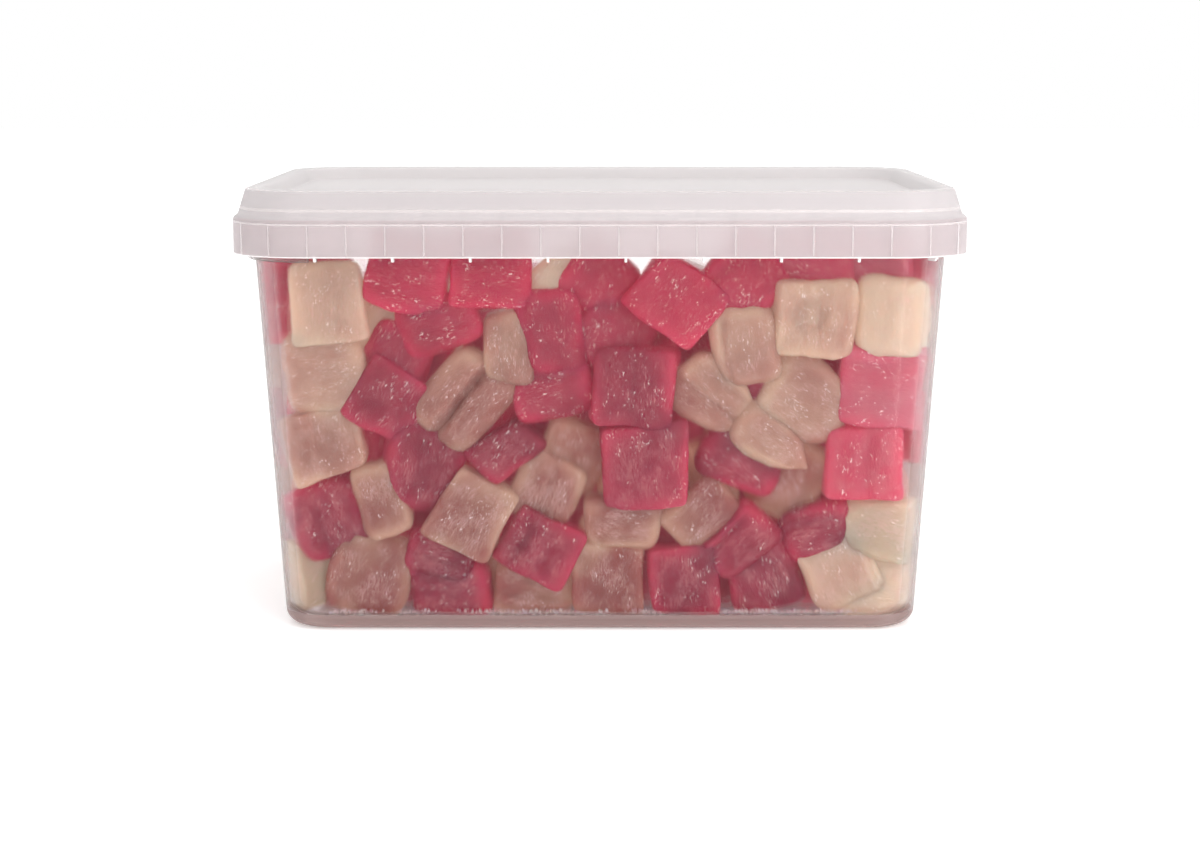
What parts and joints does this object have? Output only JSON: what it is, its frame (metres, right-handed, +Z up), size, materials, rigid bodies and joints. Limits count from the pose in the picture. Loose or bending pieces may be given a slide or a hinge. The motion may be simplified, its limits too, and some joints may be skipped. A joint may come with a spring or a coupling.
{
  "type": "tub of hard candy",
  "caption": "Clear rectangular plastic tub with a tight lid, full of square pulled-sugar sweets in pink-red and cream.",
  "frame": {"origin": "middle of the base, on the surface the tub stands on", "axes": "+X along the long side, +Z up; the front long side faces -Y"},
  "size_m": [0.2, 0.136, 0.122],
  "materials": {
    "clear_plastic": "clear polypropylene with a soft gloss",
    "milky_plastic": "milky translucent polypropylene",
    "boiled_sugar": "pulled boiled sugar, lightly dusted"
  },
  "bodies": {
    "root": {"tub": "clear_plastic", "lid": "milky_plastic", "sweets_heap": "boiled_sugar"}
  },
  "joints": []
}
